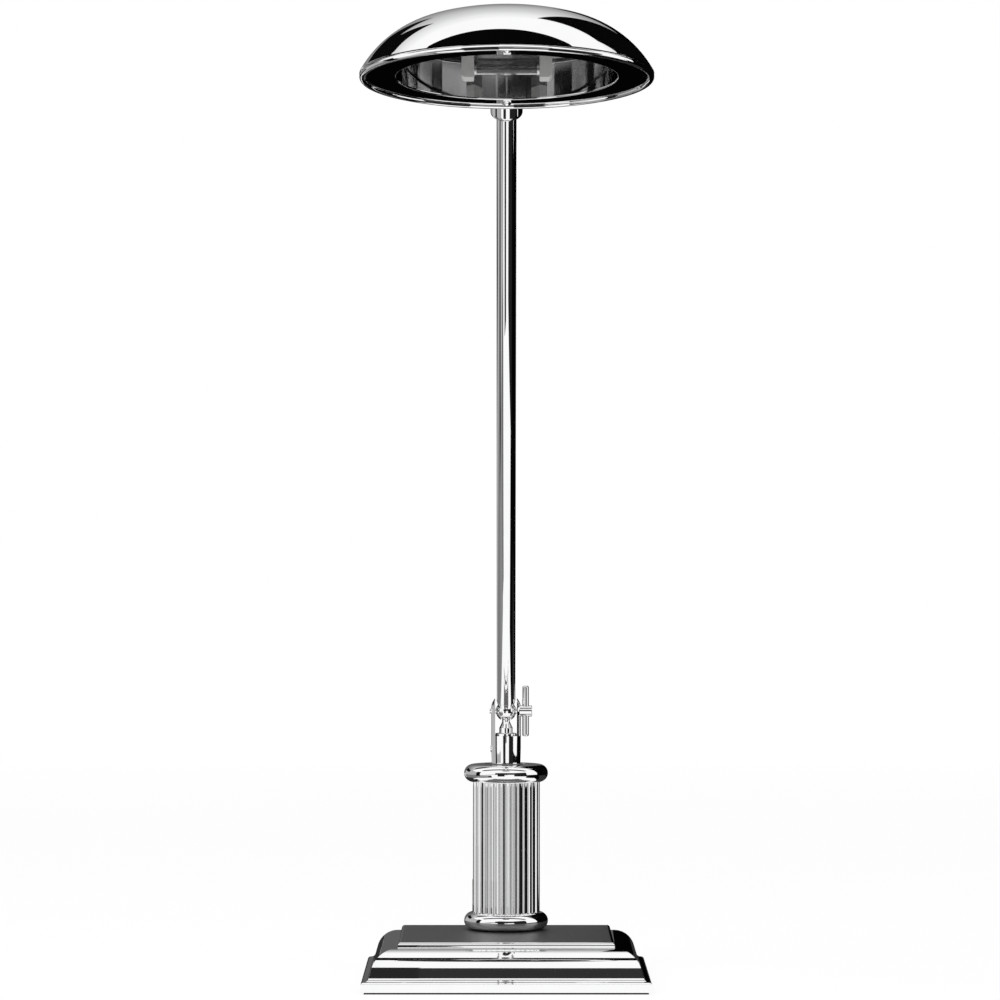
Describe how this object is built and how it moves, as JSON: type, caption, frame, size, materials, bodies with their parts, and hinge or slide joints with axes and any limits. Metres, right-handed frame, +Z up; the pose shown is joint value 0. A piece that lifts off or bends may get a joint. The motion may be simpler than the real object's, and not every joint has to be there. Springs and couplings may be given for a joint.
{
  "type": "desk lamp",
  "caption": "Desk lamp with a moulded weighted base, fluted column with ring collars, clamped knuckle, single leaning arm and a shallow domed shade over a tube lamp.",
  "frame": {"origin": "the point of the resting face, under the felt pad, that lies on the axis of the fluted column", "axes": "+Z up along the column, -Y to the front (the arm leans and the shade reaches that way), +X to the right of the lamp as seen from the front, the side of the clamp handle"},
  "size_m": [0.184, 0.4733, 0.5982],
  "materials": {
    "plated_casting": "polished chrome plate on the cast base",
    "cast_iron_black": "raw iron, painted black",
    "closing_plate": "black painted sheet steel",
    "zinc_screws": "bright zinc plated steel",
    "black_felt": "black felt",
    "black_rubber": "black rubber",
    "bright_chrome": "mirror polished chrome plate",
    "fluted_chrome": "polished chrome plate over the flutes",
    "plain_brass": "turned brass, unplated",
    "lead_sheath": "black flexible lead sheath",
    "reflector_chrome": "bright pressed reflector",
    "dome_chrome": "mirror polished chrome plate on the spun dome",
    "inner_steel": "plain machined steel",
    "pale_holder": "pale grey heat-resistant moulding",
    "spring_brass": "springy contact strip",
    "clear_glass": "clear glass tube",
    "lamp_cap_metal": "plain metal lamp caps",
    "filament_wire": "dark coiled wire"
  },
  "bodies": {
    "base": {"base_shell": "plated_casting", "ballast_weight": "cast_iron_black", "bottom_plate": "closing_plate", "bottom_plate_screws": "zinc_screws", "felt_pad": "black_felt", "cord_grommet": "black_rubber", "lower_ring": "bright_chrome", "fluted_column": "fluted_chrome", "upper_ring": "bright_chrome", "tie_tube": "zinc_screws", "tie_washer": "zinc_screws", "tie_nut": "zinc_screws", "stem_bearing": "plain_brass", "thrust_washer": "plain_brass"},
    "stem": {"clevis_stem": "bright_chrome", "stem_nut": "zinc_screws", "stem_nut_washer": "plain_brass", "nipple_screw": "bright_chrome", "lead_nipple": "bright_chrome", "pivot_pin": "bright_chrome", "stem_lead": "lead_sheath"},
    "clamp": {"clamp_screw": "bright_chrome", "cross_bar": "bright_chrome"},
    "arm": {"knuckle_ball": "bright_chrome", "arm_tube": "bright_chrome", "top_cup": "bright_chrome", "arm_lead": "lead_sheath"},
    "swivel": {"swivel_post": "bright_chrome", "post_nut": "zinc_screws", "post_washer": "plain_brass"},
    "shade": {"shade_bracket": "bright_chrome", "bracket_washer": "bright_chrome", "hinge_pin": "bright_chrome", "hinge_nut": "bright_chrome", "mounting_block": "inner_steel", "front_pillar": "inner_steel", "shade_dome": "dome_chrome", "rim_bead": "dome_chrome", "reflector_pan": "reflector_chrome", "rim_screws": "bright_chrome", "holder_strap": "inner_steel", "holder_screws": "zinc_screws", "left_lampholder": "pale_holder", "right_lampholder": "pale_holder", "contact_springs": "spring_brass", "lamp_glass": "clear_glass", "lamp_caps": "lamp_cap_metal", "filament": "filament_wire"}
  },
  "joints": [
    {"name": "stem_swivel", "type": "hinge", "parent": "base", "child": "stem", "pos_m": [0, 0, 0.1395], "axis": [0, 0, 1], "range_deg": [-165, 165]},
    {"name": "arm_tilt", "type": "hinge", "parent": "stem", "child": "arm", "pos_m": [0, 0, 0.1737], "axis": [1, 0, 0], "range_deg": [-34, 28]},
    {"name": "clamp_turn", "type": "hinge", "parent": "stem", "child": "clamp", "pos_m": [0.0128, 0, 0.1737], "axis": [1, 0, 0], "range_deg": [-90, 90]},
    {"name": "head_turn", "type": "hinge", "parent": "arm", "child": "swivel", "pos_m": [0, -0.23125, 0.55857], "axis": [0, -0.515, 0.8572], "range_deg": [-160, 160]},
    {"name": "shade_tilt", "type": "hinge", "parent": "swivel", "child": "shade", "pos_m": [0, -0.24315, 0.57837], "axis": [1, 0, 0], "range_deg": [-40, 18]}
  ]
}
